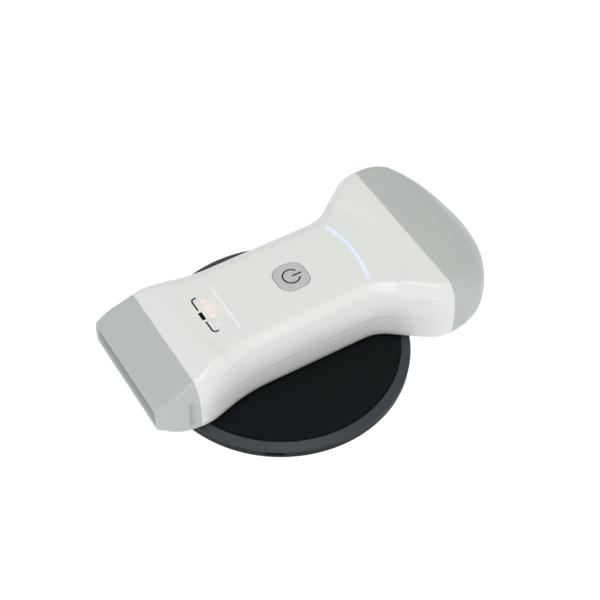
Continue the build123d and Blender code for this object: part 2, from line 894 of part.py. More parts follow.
with BuildPart() as pad_cover:
    with BuildSketch(Plane.XY.offset(cover_bottom)):
        Circle(cover_radius)
    extrude(amount=cover_thickness)
    with BuildSketch(Plane.XY.offset(base_inner)):
        with PolarLocations(pad_screw_circle, 3, start_angle=pad_screw_angle):
            Circle(pad_boss_radius)
    extrude(amount=cover_bottom - base_inner)
    with BuildSketch(Plane.XY.offset(base_inner)):
        with PolarLocations(pad_screw_circle, 3, start_angle=pad_screw_angle):
            Circle(pad_screw_radius + thread_gap)
    extrude(amount=pad_screw_bite + thread_gap, mode=Mode.SUBTRACT)
finish(pad_cover.part, "pad_cover")

with BuildPart() as pad_mat:
    with BuildSketch(Plane.XY.offset(cover_top)):
        Circle(ring_inner - mat_groove)
    extrude(amount=mat_thickness)
    mat_rim = pad_mat.faces().sort_by(Axis.Z)[-1].edges()
    fillet(mat_rim, radius=mat_rim_radius)
finish(pad_mat.part, "pad_mat")

with BuildPart() as pad_ferrite:
    with BuildSketch(Plane.XY.offset(base_inner)):
        Circle(coil_outer + ferrite_margin)
    extrude(amount=ferrite_height)
finish(pad_ferrite.part, "pad_ferrite")

with BuildPart() as pad_coil:
    with BuildSketch(Plane.XY.offset(base_inner + ferrite_height)):
        Circle(coil_outer)
        Circle(coil_inner, mode=Mode.SUBTRACT)
    extrude(amount=coil_height)
finish(pad_coil.part, "pad_coil")

socket_inner = tray_radius - hole_gap - socket_depth
board_reach = tray_radius - 2 * hole_gap - pad_board_setback
pad_board_start = coil_outer + ferrite_margin + pad_board_clearance

with BuildPart() as pad_board:
    with BuildSketch(inlet(pad_board_bottom)):
        with Locations(((pad_board_start + board_reach) / 2, 0)):
            Rectangle(board_reach - pad_board_start, pad_board_width)
        with Locations((socket_inner - hole_gap, 0)):
            Rectangle(socket_depth * 2, socket_width + 4 * hole_gap, align=(Align.MIN, Align.CENTER),
                      mode=Mode.SUBTRACT)
    extrude(amount=pad_board_thickness)
finish(pad_board.part, "pad_board")

with BuildPart() as pad_chips:
    with BuildSketch(inlet(pad_board_bottom + pad_board_thickness)):
        for out, along in pad_chips_at:
            with Locations((pad_board_start + out * (socket_inner - pad_board_start), along)):
                Rectangle(pad_chip_length, pad_chip_width)
    extrude(amount=pad_chip_height)
finish(pad_chips.part, "pad_chips")

with BuildPart() as pad_socket:
    with BuildSketch(inlet_front.offset(socket_inner)):
        RectangleRounded(socket_width, socket_top - socket_bottom, socket_shell_corner)
    extrude(amount=socket_depth)
    with BuildSketch(inlet_front.offset(socket_inner + socket_depth)):
        RectangleRounded(socket_width - 2 * socket_wall, socket_slot_height - 2 * hole_gap, socket_wall)
        Rectangle(socket_tongue_width, socket_tongue, mode=Mode.SUBTRACT)
    extrude(amount=-(socket_depth - socket_back), mode=Mode.SUBTRACT)
finish(pad_socket.part, "pad_socket")

pad_screws_at = [
    (pad_screw_circle * cos(radians(a)), -pad_screw_circle * sin(radians(a)))
    for a in (pad_screw_angle, pad_screw_angle + 120, pad_screw_angle + 240)
]
finish(
    screws(pad_underside, pad_screws_at, pad_screw_head_radius, pad_screw_head,
           pad_floor - pad_screw_head + pad_screw_bite, pad_screw_radius),
    "pad_screws",
)
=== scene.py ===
# %% [markdown]
# # A pocket ultrasound scanner on its charging pad
# The scanner is a handheld probe with two heads: a straight one on its narrow
# end and a curved one on its wide end. The measured parts come from a CAD
# model. Here they get their moulded skins, their finishes and their light.

# %% Load the measured parts
import json
from math import asin, atan2, ceil, cos, exp, hypot, pi, radians, sin, tan
import bmesh
import bpy
from mathutils import Matrix, Vector


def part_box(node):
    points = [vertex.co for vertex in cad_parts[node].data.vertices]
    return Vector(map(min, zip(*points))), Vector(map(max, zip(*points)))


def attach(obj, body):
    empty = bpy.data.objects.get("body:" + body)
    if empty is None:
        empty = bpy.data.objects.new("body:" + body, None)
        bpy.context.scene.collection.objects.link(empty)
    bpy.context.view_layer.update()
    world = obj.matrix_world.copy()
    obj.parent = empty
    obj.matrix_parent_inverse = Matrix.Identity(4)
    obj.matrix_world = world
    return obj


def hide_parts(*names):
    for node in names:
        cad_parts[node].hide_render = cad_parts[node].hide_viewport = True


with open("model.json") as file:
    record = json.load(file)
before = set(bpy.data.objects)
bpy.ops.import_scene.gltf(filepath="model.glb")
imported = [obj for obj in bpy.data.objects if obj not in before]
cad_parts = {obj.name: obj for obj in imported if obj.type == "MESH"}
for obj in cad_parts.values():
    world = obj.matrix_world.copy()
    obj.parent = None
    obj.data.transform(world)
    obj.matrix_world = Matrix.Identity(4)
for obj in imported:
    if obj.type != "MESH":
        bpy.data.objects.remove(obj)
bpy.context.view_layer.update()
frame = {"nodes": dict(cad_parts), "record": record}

# %% [markdown]
# ## Where things are
# The skins are drawn in millimetres, in the scanner's own directions: u runs
# along it towards the curved head, w runs across it. Zero is under the power
# button, at the height where the two halves of the shell meet. One matrix
# then takes a finished mesh to its real place in metres, so that every object
# keeps its own origin at zero.

# %% The two places to build in
MM = 0.001
button_low, button_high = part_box("power_button")
shell_low, shell_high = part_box("upper_shell")
base_low, base_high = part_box("pad_base")
button_middle = (button_low + button_high) / 2
scanner_zero = Vector((button_middle.x, button_middle.y, shell_low.z))
pad_zero = Vector(((base_low.x + base_high.x) / 2, (base_low.y + base_high.y) / 2, 0))
SCANNER = Matrix.Translation(scanner_zero) @ Matrix.Scale(MM, 4)
PAD = Matrix.Translation(pad_zero) @ Matrix.Scale(MM, 4)


def along(x):
    return (x - scanner_zero.x) / MM


front_face = along(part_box("linear_nose")[0].x)
apex = along(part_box("convex_nose")[1].x)
front_seam, rear_seam = along(shell_low.x), along(shell_high.x)
head_half = (shell_high.y - shell_low.y) / 2 / MM
print("front face", round(front_face, 2), "seams", round(front_seam, 2), round(rear_seam, 2),
      "apex", round(apex, 2), "half width", round(head_half, 2))

# %% [markdown]
# ## The camera
# A long lens from a little over half a metre keeps the perspective gentle, as
# a catalogue picture does. The camera starts on the pad's centre, turned and
# tipped, steps back, and then slides a little up and to the right. It is made
# first, so that every later step can be looked at.

# %% Camera
camera_turn, camera_height, camera_roll = radians(-32.125), radians(49.985), radians(1.363)
camera_back, slide_right, slide_up = 0.5991, 0.00704, 0.01999
camera = bpy.data.objects.new("camera", bpy.data.cameras.new("camera"))
camera.data.lens, camera.data.sensor_width = 93.0, 36.0
camera.matrix_world = (Matrix.Translation(pad_zero) @ Matrix.Rotation(camera_turn, 4, "Z")
                       @ Matrix.Rotation(pi / 2 - camera_height, 4, "X")
                       @ Matrix.Translation((slide_right, slide_up, camera_back))
                       @ Matrix.Rotation(camera_roll, 4, "Z"))
bpy.context.collection.objects.link(camera)
bpy.context.scene.camera = camera
bpy.context.scene.view_settings.view_transform = "Standard"
print("camera at", [round(v, 3) for v in camera.matrix_world.translation])

# %% [markdown]
# ## Finishes
# Every finish is a small network of nodes on a Principled shader: a broad
# noise that shifts the colour a little, a fine one that roughens it, and a
# bump with the grain that the mould or the material has. Colours are written
# as they look on a screen and turned into light values by one helper. All of
# them read Object coordinates, so the grain keeps its real size on every
# piece.

# %% A helper for finishes
def screen(red, green, blue):
    def light(v):
        v /= 255
        return v / 12.92 if v <= 0.04045 else ((v + 0.055) / 1.055) ** 2.4
    return (light(red), light(green), light(blue), 1.0)


def node(tree, kind, **values):
    made = tree.nodes.new("ShaderNode" + kind)
    for key, value in values.items():
        if hasattr(made, key):
            setattr(made, key, value)
        else:
            made.inputs[key.replace("_", " ")].default_value = value
    return made


def finish(name, colour, second, mottle=60.0, rough=(0.35, 0.45), grain=4000.0, bump=0.05,
           depth=0.00002, metallic=0.0, **sockets):
    """A material with two close colours, a rough grain and a bump. Lengths are metres."""
    made = bpy.data.materials.new(name)
    made.use_nodes = True
    tree = made.node_tree
    shader = tree.nodes["Principled BSDF"]
    place = node(tree, "TexCoord")
    broad = node(tree, "TexNoise", Scale=mottle, Detail=3.0)
    mix = node(tree, "Mix", data_type="RGBA")
    mix.inputs[6].default_value, mix.inputs[7].default_value = colour, second
    fine = node(tree, "TexNoise", Scale=grain, Detail=2.0)
    spread = node(tree, "MapRange")
    spread.inputs["To Min"].default_value, spread.inputs["To Max"].default_value = rough
    relief = node(tree, "Bump", Strength=bump, Distance=depth)
    link = tree.links.new
    link(place.outputs["Object"], broad.inputs["Vector"])
    link(place.outputs["Object"], fine.inputs["Vector"])
    link(broad.outputs["Fac"], mix.inputs[0])
    link(mix.outputs[2], shader.inputs["Base Color"])
    link(fine.outputs["Fac"], spread.inputs["Value"])
    link(spread.outputs["Result"], shader.inputs["Roughness"])
    link(fine.outputs["Fac"], relief.inputs["Height"])
    link(relief.outputs["Normal"], shader.inputs["Normal"])
    shader.inputs["Metallic"].default_value = metallic
    for key, value in sockets.items():
        shader.inputs[key.replace("_", " ")].default_value = value
    return made


print("screen white as light:", screen(255, 255, 255))

# %% [markdown]
# The two shells are moulded in a warm white plastic with a silky spark
# texture. The noses are the same plastic in grey, and a little duller. The
# lenses are silicone rubber, which is smoother and takes a soft shine.

# %% White, grey and rubber
shell_white = finish("shell_white", screen(226, 226, 221), screen(223, 224, 220), 45, (0.30, 0.38), 5200, 0.10,
                     0.00001, Specular_IOR_Level=0.5, Coat_Weight=0.12, Coat_Roughness=0.22)
nose_grey = finish("nose_grey", screen(185, 189, 183), screen(182, 185, 181), 38, (0.36, 0.44), 5200, 0.14, 0.00001,
                   Specular_IOR_Level=0.45)
lens_grey = finish("lens_grey", screen(134, 138, 132), screen(128, 133, 128), 120, (0.24, 0.32), 2600, 0.05, 0.00001,
                   Specular_IOR_Level=0.5, Coat_Weight=0.1)
button_grey = finish("button_grey", screen(190, 192, 189), screen(186, 188, 185), 240, (0.34, 0.42), 6000, 0.16,
                     0.00001)
ink_maroon = finish("ink_maroon", screen(46, 26, 31), screen(38, 22, 27), 900, (0.6, 0.75), 9000, 0.1, 0.00001,
                    Specular_IOR_Level=0.1)
ink_black = finish("ink_black", screen(12, 12, 12), screen(8, 8, 9), 900, (0.6, 0.75), 9000, 0.1, 0.00001,
                   Specular_IOR_Level=0.1)
print("moulded finishes:", len(bpy.data.materials))

# %% [markdown]
# The pad has three dark finishes: a satin metal ring with fine metallic
# flakes, a near-black mat with a cloth-fine grain that stops the scanner
# slipping, and a slate plastic tray. The flakes are a Voronoi pattern whose
# cells each tip the surface a different way.

# %% Pad finishes
pad_plastic = finish("pad_plastic", screen(22, 27, 28), screen(18, 23, 24), 70, (0.45, 0.6), 3500, 0.2, 0.00003,
                     Specular_IOR_Level=0.15)
pad_mat = finish("pad_mat", screen(15, 21, 24), screen(11, 16, 18), 110, (0.7, 0.85), 2600, 0.5, 0.00006,
                 Specular_IOR_Level=0.1)
pad_metal = finish("pad_metal", screen(63, 69, 72), screen(57, 62, 65), 80, (0.42, 0.55), 5000, 0.1, 0.00002,
                   metallic=0.15, Specular_IOR_Level=0.12)
pad_rubber = finish("pad_rubber", screen(34, 35, 36), screen(28, 29, 30), 90, (0.7, 0.85), 2200, 0.3, 0.00004)


def add_flakes(material, size, tip):
    tree = material.node_tree
    shader, relief = tree.nodes["Principled BSDF"], tree.nodes["Bump"]
    place = node(tree, "TexCoord")
    cells = node(tree, "TexVoronoi", Scale=1 / size)
    flakes = node(tree, "Bump", Strength=tip, Distance=size * 0.2)
    tree.links.new(place.outputs["Object"], cells.inputs["Vector"])
    tree.links.new(cells.outputs["Color"], flakes.inputs["Height"])
    tree.links.new(relief.outputs["Normal"], flakes.inputs["Normal"])
    tree.links.new(flakes.outputs["Normal"], shader.inputs["Normal"])


add_flakes(pad_metal, 0.00035, 0.25)
add_flakes(pad_mat, 0.0005, 0.12)
print("pad finishes ready")

# %% [markdown]
# The lamps are clear plastic light guides. The curved strip glows a cold blue
# white, three of the charge dots glow warm, and the rest are unlit but for a
# faint painted glow. A lit guide is a shader with its own even light. The light
# that the warm dots leak into the white plastic round them is painted on the
# upper shell as a pink glow, which fades out with the distance.

# %% Lamp finishes
def lamp(name, colour, second, light, strength):
    return finish(name, colour, second, 400, (0.25, 0.35), 3000, 0.03, 0.00001, Emission_Color=light,
                  Emission_Strength=strength)


guide_lit = lamp("guide_lit", screen(149, 157, 174), screen(140, 150, 172), screen(226, 236, 255), 0.63)
guide_warm = lamp("guide_warm", screen(196, 160, 150), screen(190, 150, 142), screen(255, 222, 210), 0.68)
# The unlit guides get a faint painted glow of their own, strength 0.02, that brightens them a little.
guide_unlit = lamp("guide_unlit", screen(235, 236, 233), screen(231, 232, 229), screen(255, 255, 255), 0.02)
print("lamps:", guide_lit.name, guide_warm.name, guide_unlit.name)


def add_painted_glow(material, at, reach, strength, colour):
    """Paints the light that leaks into the plastic round a lamp as a glow that fades out over the reach, in
    millimetres.
    """
    tree = material.node_tree
    shader = tree.nodes["Principled BSDF"]
    place = node(tree, "TexCoord")
    far = node(tree, "VectorMath", operation="DISTANCE")
    far.inputs[1].default_value = SCANNER @ Vector(at)
    fade = node(tree, "MapRange", interpolation_type="SMOOTHSTEP")
    for socket, value in (("From Min", 0.0), ("From Max", reach * MM), ("To Min", strength), ("To Max", 0.0)):
        fade.inputs[socket].default_value = value
    tree.links.new(place.outputs["Object"], far.inputs[0])
    tree.links.new(far.outputs["Value"], fade.inputs["Value"])
    tree.links.new(fade.outputs["Result"], shader.inputs["Emission Strength"])
    shader.inputs["Emission Color"].default_value = colour


# Painted glow: the pink light round the warm dots is painted into the upper shell's own finish as emission.
GLOW_AT, GLOW_REACH, GLOW_STRENGTH = (-33.4, 1.9, 14.5), 6.5, 0.16
shell_top_painted_glow = shell_white.copy()
shell_top_painted_glow.name = "shell_top_painted_glow"
add_painted_glow(shell_top_painted_glow, GLOW_AT, GLOW_REACH, GLOW_STRENGTH, screen(255, 120, 105))

# %% [markdown]
# ## Turning a mesh into a piece
# Each piece is shaped as a bmesh in millimetres. This helper takes it to its
# place, smooths it except at its sharp edges, gives it its finish, and makes
# it ride on its body of the model, so that it moves when that body moves.

# %% Placing helpers
def mesh_object(name, bm, place):
    bmesh.ops.transform(bm, matrix=place, verts=bm.verts)
    mesh = bpy.data.meshes.new(name)
    bm.to_mesh(mesh)
    bm.free()
    made = bpy.data.objects.new(name, mesh)
    bpy.context.collection.objects.link(made)
    return made


def piece(made, material, slot, body, *stands_for, sharp=38):
    mesh = made.data
    mesh.materials.clear()
    mesh.materials.append(material)
    mesh.polygons.foreach_set("use_smooth", [True] * len(mesh.polygons))
    mesh.set_sharp_from_angle(angle=radians(sharp))
    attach(made, body)
    if stands_for:
        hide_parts(*stands_for)
    print(made.name, "faces:", len(mesh.polygons))
    return made


def settle(made):
    """Makes the modifiers' result the object's own mesh."""
    graph = bpy.context.evaluated_depsgraph_get()
    result = bpy.data.meshes.new_from_object(made.evaluated_get(graph))
    made.modifiers.clear()
    made.data = result


def outward(bm):
    bmesh.ops.remove_doubles(bm, verts=bm.verts, dist=0.002)
    bmesh.ops.dissolve_degenerate(bm, edges=bm.edges, dist=0.001)
    bmesh.ops.recalc_face_normals(bm, faces=bm.faces)


# %% [markdown]
# ## The scanner's outline
# Seen from above, the body is a waist between two heads. Half of its outline
# is a chain of straight runs and arcs, from the straight head's face round to
# the middle of the curved head. Walking along that chain gives stations, and
# each station will carry one cross-section. The steps are short where the
# side walls have their small finger grooves.

# %% Outline stations
COARSE, FINE = 1.3, 0.42
side_runs = [((front_face, 24.5), 0, FINE), ((-63.5, 27.4), 24, FINE), ((-50.0, 28.5), 22, COARSE),
             ((-31.5, 23.4), 60, COARSE), ((24.4, 23.4), 15, COARSE), ((44.2, head_half), 14, FINE)]
head_corner_radius, head_radius, head_corner_u = 16.0, 50.0, 54.84
head_corner = Vector((head_corner_u, head_half - head_corner_radius))
head_centre = Vector((apex - head_radius, 0))


def arc_stations(centre, radius, start, end, step):
    """Points on an arc, each with the direction that points into the body."""
    count = max(2, ceil(abs(end - start) * radius / step))
    out = []
    for i in range(1, count + 1):
        angle = start + (end - start) * i / count
        ray = Vector((cos(angle), sin(angle)))
        out.append((centre + ray * radius, -ray if end < start else ray))
    return out


def line_stations(start, end, step):
    count = max(1, ceil((end - start).length / step))
    run = (end - start).normalized()
    return [(start.lerp(end, i / count), Vector((run.y, -run.x))) for i in range(1, count + 1)]


def outline_stations():
    points = [Vector(p) for p, _, _ in side_runs] + [Vector((head_corner.x, head_half))]
    out = [(points[0], Vector((0, -1)))]
    here = points[0]
    for i in range(1, len(side_runs)):
        before = (points[i] - points[i - 1]).normalized()
        after = (points[i + 1] - points[i]).normalized()
        turn = before.angle_signed(after)
        radius = side_runs[i][1]
        reach = radius * tan(abs(turn) / 2)
        tangent = points[i] - before * reach
        out += line_stations(here, tangent, side_runs[i - 1][2])
        inside = Vector((before.y, -before.x)) * (1 if turn > 0 else -1)
        centre = tangent + inside * radius
        start = atan2(-inside.y, -inside.x)
        out += arc_stations(centre, radius, start, start - turn, COARSE)
        here = points[i] + after * reach
    out += line_stations(here, points[-1], FINE)
    turn_end = atan2(head_corner.y - head_centre.y, head_corner.x - head_centre.x)
    out += arc_stations(head_corner, head_corner_radius, pi / 2, turn_end, COARSE)
    out += arc_stations(head_centre, head_radius, turn_end, 0, COARSE)
    return out


stations = outline_stations()
print("stations:", len(stations), "last:", [round(v, 2) for v in stations[-1][0]])

# %% [markdown]
# ## The heights of the deck
# The top deck rises in a ramp from the straight head, runs level over the
# waist and falls away in a dome over the curved head. The level part is a
# shallow dish: at each end it climbs about a millimetre, along an arc, up to
# the head. The underside is plainer. Both are functions of the place, so
# that every mesh that lies on the deck can use them. A dome is given by its
# start, its fall and how sharply it falls, and a dish edge by its arc's
# centre, its radius and how wide the climb is.

# %% Deck height
DECK, KEEL = 14.5, 12.4
FACE_HALF_HEIGHT = 4.8
DECK_RAMP, DECK_BLEND = 0.40, 7.5
KEEL_RAMP, KEEL_BLEND = 0.66, 6.0
DECK_DOME, KEEL_DOME = (47, 6.8, 2.1), (50, 3.6, 1.5)
DISH_STEP, FRONT_DISH, REAR_DISH = 1.1, (2.1, 44.2, 3.4), (10.1, 30.5, 5.5)


def ease(t):
    t = min(1.0, max(0.0, t))
    return t * t * (3 - 2 * t)


def ramp_drop(u, level, slope, blend):
    """How far a ramp from the face has still to climb at u, with a rounded join."""
    past = front_face + (level - FACE_HALF_HEIGHT) / slope - u
    if past <= -blend:
        return 0.0
    if past >= blend:
        return slope * past
    return slope * (past + blend) ** 2 / (4 * blend)


def dome_drop(u, start, fall, power):
    return fall * (max(0.0, u - start) / (apex - start)) ** power


def dish_edge(u, w):
    centre, radius, width = FRONT_DISH if u < 0 else REAR_DISH
    return ease((hypot(u - centre, w) - radius) / width)


def deck(u, w, top=True):
    if top:
        return (DECK - ramp_drop(u, DECK, DECK_RAMP, DECK_BLEND) - dome_drop(u, *DECK_DOME)
                + DISH_STEP * dish_edge(u, w))
    return -(KEEL - ramp_drop(u, KEEL, KEEL_RAMP, KEEL_BLEND) - dome_drop(u, *KEEL_DOME))


print("deck at the face, the button and the apex:", [round(deck(u, 0), 2) for u in (front_face, 0, apex)])

# %% [markdown]
# ## The cross-section
# At every station the wall leans in a little as it rises, steps back over a
# narrow ledge in places, turns over a soft crease, climbs a short shoulder
# and eases on to the deck. How far it leans, where the crease lies and how
# wide the ledge and the shoulder are all change along the body, so each is a
# short list of places and sizes with a smooth curve through it.

# %% Section sizes along the body
def through(u, knots):
    """A smooth curve through (place, size) pairs that never overshoots them."""
    if u <= knots[0][0]:
        return knots[0][1]
    if u >= knots[-1][0]:
        return knots[-1][1]
    i = max(k for k in range(len(knots) - 1) if knots[k][0] <= u)
    slopes = [(b[1] - a[1]) / (b[0] - a[0]) for a, b in zip(knots, knots[1:])]

    def lean_at(k):
        if k == 0 or k == len(knots) - 1:
            return slopes[0] if k == 0 else slopes[-1]
        a, b = slopes[k - 1], slopes[k]
        return 0.0 if a * b <= 0 else 2 * a * b / (a + b)

    (u0, v0), (u1, v1) = knots[i], knots[i + 1]
    span = u1 - u0
    t = (u - u0) / span
    return (v0 * (1 + 2 * t) * (1 - t) ** 2 + v1 * t * t * (3 - 2 * t)
            + span * (lean_at(i) * t * (1 - t) ** 2 - lean_at(i + 1) * t * t * (1 - t)))


FRONT, WAIST_END, TIP = -70.3, 20.0, 78.5
top_sizes = {
    "lean": [(FRONT, 0.4), (-54, 1.7), (-44, 2.2), (-30, 2.4), (WAIST_END, 2.4), (36, 2.3), (50, 1.8), (58, 1.4),
             (67, 1.0), (74, 1.5), (TIP, 2.6)],
    "drop": [(FRONT, 0.4), (-54, 2.2), (-44, 2.3), (-36, 2.0), (WAIST_END, 2.0), (27, 2.6), (36, 2.7), (50, 2.4),
             (58, 2.1), (67, 1.4), (TIP, 1.2)],
    "soft": [(FRONT, 1.0), (-54, 4.6), (-40, 6.0), (WAIST_END, 6.2), (36, 5.4), (50, 4.8), (58, 4.8), (67, 4.2),
             (73, 5.2), (TIP, 8.0)],
    "crease": [(FRONT, 0.3), (-54, 1.2), (-40, 1.2), (WAIST_END, 0.9), (28, 0.6), (46, 0.7), (52, 1.5), (58, 2.0),
               (66, 2.2), (TIP, 1.8)],
    "run": [(FRONT, 0.3), (-54, 1.5), (-30, 1.6), (WAIST_END, 1.2), (46, 1.2), (52, 2.2), (60, 4.5), (TIP, 5.0)],
    "ledge": [(-66, 0.0), (-60, 0.12), (-52, 0.12), (-46, 0.0), (WAIST_END, 0.0), (28, 0.25), (44, 0.25), (51, 0.0)],
}
keel_sizes = {
    "lean": [(FRONT, 0.3), (-54, 0.35), (TIP, 0.5)],
    "drop": [(FRONT, 0.3), (-54, 0.3), (50, 0.3), (TIP, 0.5)],
    "soft": [(FRONT, 1.0), (-62, 5.6), (-54, 8.6), (WAIST_END, 7.8), (36, 7.4), (50, 7.6), (60, 12.0), (TIP, 12.0)],
    "crease": [(FRONT, 0.35), (-62, 3.0), (-54, 4.8), (WAIST_END, 4.4), (36, 4.2), (50, 4.6), (60, 7.2), (TIP, 6.0)],
    "run": [(FRONT, 0.3), (-54, 1.5), (50, 1.5), (TIP, 3.0)],
    "ledge": [(FRONT, 0.0), (TIP, 0.0)],
}


def bend(a, b, c, count):
    """Points on a parabola from a to c that heads for b, without its first."""
    return [a.lerp(b, t).lerp(b.lerp(c, t), t) for t in (i / count for i in range(1, count + 1))]


FRONT_GROOVE, FRONT_GROOVE_DEPTH, FRONT_GROOVE_WIDTHS = -57.0, 1.25, (1.2, 0.7)
REAR_GROOVE, REAR_GROOVE_DEPTH, REAR_GROOVE_WIDTH = 53.4, 0.35, 1.0
GROOVE_TOP, GROOVE_FADE = 0.5, 0.35


def groove(u, rise):
    """The thumb grooves that are sunk in the side walls next to each seam."""
    before, after = FRONT_GROOVE_WIDTHS
    front = FRONT_GROOVE_DEPTH * exp(-((u - FRONT_GROOVE) / (before if u < FRONT_GROOVE else after)) ** 2)
    rear = REAR_GROOVE_DEPTH * exp(-((u - REAR_GROOVE) / REAR_GROOVE_WIDTH) ** 2)
    return (front + rear) * (1 - ease((rise - GROOVE_TOP) / GROOVE_FADE))


print("waist lean:", round(through(0, top_sizes["lean"]), 2), "mm")

# %% [markdown]
# A flat grid is wrapped into the skin: one way along the grid is one way
# along the body, the other way climbs the near wall, crosses the deck and
# goes down the far wall. At the tip of the curved head the last row closes
# up on itself and is merged.

# %% Wrapping a grid into a skin
WALL_STEPS, CREASE_STEPS, SHOULDER_STEPS, EASE_STEPS, ACROSS = 9, 6, 2, 6, 28


def half_section(station, top):
    (u, w), into = station
    sizes = top_sizes if top else keel_sizes
    lean, drop, soft, crease, run, ledge = (through(u, sizes[k])
                                            for k in ("lean", "drop", "soft", "crease", "run", "ledge"))
    turned = ease((u + 52) / 8)
    into = Vector((into.x * turned, into.y))
    height = abs(deck(u, 0, top)) - (DISH_STEP * dish_edge(u, 0) if top else 0) - drop

    def level(inset):
        p = Vector((u, w)) + into * inset
        return Vector((inset, abs(deck(p.x, p.y, top))))

    edge, shoulder, deck_point = Vector((lean, height)), level(soft), level(soft + run)
    climb = 1 - crease / height
    wall_lean = lean - ledge
    wall_top = Vector((wall_lean * climb ** 2, height * climb))
    ledge_top = wall_top + Vector((ledge + 0.02, 0.15))
    slope = shoulder - edge
    reach = min(crease, slope.length * 0.65)
    past_crease = edge + slope.normalized() * reach
    before_ease = shoulder - slope.normalized() * min(run, slope.length * 0.33)
    wall = [Vector((wall_lean * (climb * i / WALL_STEPS) ** 2, height * climb * i / WALL_STEPS))
            for i in range(WALL_STEPS + 1)]
    wall = [Vector((p.x + groove(u, p.y / height), p.y)) for p in wall]
    line = wall + [ledge_top] + bend(ledge_top, edge, past_crease, CREASE_STEPS)
    line += [past_crease.lerp(before_ease, i / SHOULDER_STEPS) for i in range(1, SHOULDER_STEPS + 1)]
    line += bend(before_ease, shoulder, deck_point, EASE_STEPS)
    sign = 1 if top else -1
    return [Vector((u + into.x * d, w + into.y * d, sign * h)) for d, h in line]


def skin(top):
    half = WALL_STEPS + 1 + CREASE_STEPS + SHOULDER_STEPS + EASE_STEPS
    rows, columns = len(stations) - 1, 2 * half + ACROSS
    sections = [half_section(s, top) for s in stations]
    bm = bmesh.new()
    bmesh.ops.create_grid(bm, x_segments=rows, y_segments=columns, size=0.5)
    for v in bm.verts:
        i, j = round((v.co.x + 0.5) * rows), round((v.co.y + 0.5) * columns)
        near = min(j, columns - j)
        if near <= half:
            p = sections[i][near].copy()
            p.y *= -1 if j < columns / 2 else 1
        else:
            end = sections[i][-1]
            w = end.y * (2 * (j - half) / ACROSS - 1)
            p = Vector((end.x, w, deck(end.x, w, top)))
        v.co = p
    outward(bm)
    return bm


def keep_between(bm, low, high):
    for limit, normal in ((low, (-1, 0, 0)), (high, (1, 0, 0))):
        bmesh.ops.bisect_plane(bm, geom=bm.verts[:] + bm.edges[:] + bm.faces[:], dist=0.0001, plane_co=(limit, 0, 0),
                               plane_no=normal, clear_outer=True)
    return bm


# %% [markdown]
# ## The two shells
# The upper shell holds the button and the lamps. The lower one is plain. Both
# are moulded with a wall of constant thickness, so the skin is a sheet first,
# and Solidify gives the wall. A cutter makes the button's hole, and a narrow
# bevel along every rim leaves the fine line where two mouldings meet.

# %% Rounded pads of any size
def pillow(half_x, half_y, corner, thick, crown=0.0, edge=0.1, swell=0.0, cells=12):
    """A plate with round corners, a crowned top at height zero and a soft rim."""
    bm = bmesh.new()
    bmesh.ops.create_grid(bm, x_segments=cells * max(1, round(half_x / half_y)),
                          y_segments=cells * max(1, round(half_y / half_x)), size=1.0)
    for v in bm.verts:
        x, y = v.co.x * half_x, v.co.y * half_y
        x += swell * v.co.x * (1 - v.co.y ** 2)
        y += swell * v.co.y * (1 - v.co.x ** 2)
        dx, dy = abs(x) - (half_x - corner), abs(y) - (half_y - corner)
        if dx > 0 and dy > 0:
            shrink = max(dx, dy) / hypot(dx, dy)
            x = (half_x - corner + dx * shrink) * (1 if x > 0 else -1)
            y = (half_y - corner + dy * shrink) * (1 if y > 0 else -1)
        v.co = Vector((x, y, crown * (1 - v.co.y ** 2) * (1 - v.co.x ** 12) if crown else 0.0))
    top = bm.faces[:]
    rim = [e for e in bm.edges if e.is_boundary]
    made = bmesh.ops.extrude_edge_only(bm, edges=rim)["geom"]
    low = [g for g in made if isinstance(g, bmesh.types.BMVert)]
    bmesh.ops.translate(bm, verts=low, vec=(0, 0, -thick))
    bmesh.ops.contextual_create(bm, geom=[e for e in bm.edges if e.is_boundary])
    bmesh.ops.recalc_face_normals(bm, faces=bm.faces)
    if edge:
        rim = [e for e in bm.edges if any(f in top for f in e.link_faces) and e.calc_face_angle(0) > 0.7]
        bmesh.ops.bevel(bm, geom=rim, offset=edge, segments=3, profile=0.5, affect="EDGES", material=-1)
    return bm


BUTTON_HALF, BUTTON_CORNER, BUTTON_GAP, BUTTON_SWELL = 6.1, 3.9, 0.2, 0.35
WALL, RIM_BEVEL = 1.6, 0.22


def wall_and_rim(made, cutters=()):
    wall = made.modifiers.new("wall", "SOLIDIFY")
    wall.thickness, wall.offset = WALL * MM, -1
    for cutter in cutters:
        hole = made.modifiers.new("hole", "BOOLEAN")
        hole.object, hole.operation, hole.solver = cutter, "DIFFERENCE", "EXACT"
    rim = made.modifiers.new("rim", "BEVEL")
    rim.width, rim.segments, rim.limit_method, rim.angle_limit = RIM_BEVEL * MM, 2, "ANGLE", radians(50)
    settle(made)
    for cutter in cutters:
        bpy.data.objects.remove(cutter)
    return made


HOLE_HALF, CUTTER_THICK, CUTTER_LEAD = BUTTON_HALF + BUTTON_GAP, 8, 3
hole_shape = pillow(HOLE_HALF, HOLE_HALF, BUTTON_CORNER + BUTTON_GAP, CUTTER_THICK, 0, 0, BUTTON_SWELL)
button_cutter = mesh_object("button_cutter", hole_shape, SCANNER @ Matrix.Translation((0, 0, DECK + CUTTER_LEAD)))
upper = mesh_object("upper_skin", keep_between(skin(True), front_seam, rear_seam), SCANNER)
lower = mesh_object("lower_skin", keep_between(skin(False), front_seam, rear_seam), SCANNER)
piece(wall_and_rim(upper, [button_cutter]), shell_top_painted_glow, "shell_white", "scanner", "upper_shell")
piece(wall_and_rim(lower), shell_white, "shell_white", "scanner", "lower_shell")

# %% [markdown]
# ## The two noses
# Each nose is one grey moulding that closes an end of the body, so its upper
# and lower skins are joined along the wall. The straight head's skin is open
# at its face: one face fills it there, and a cutter sinks the window that
# the lens sits in.

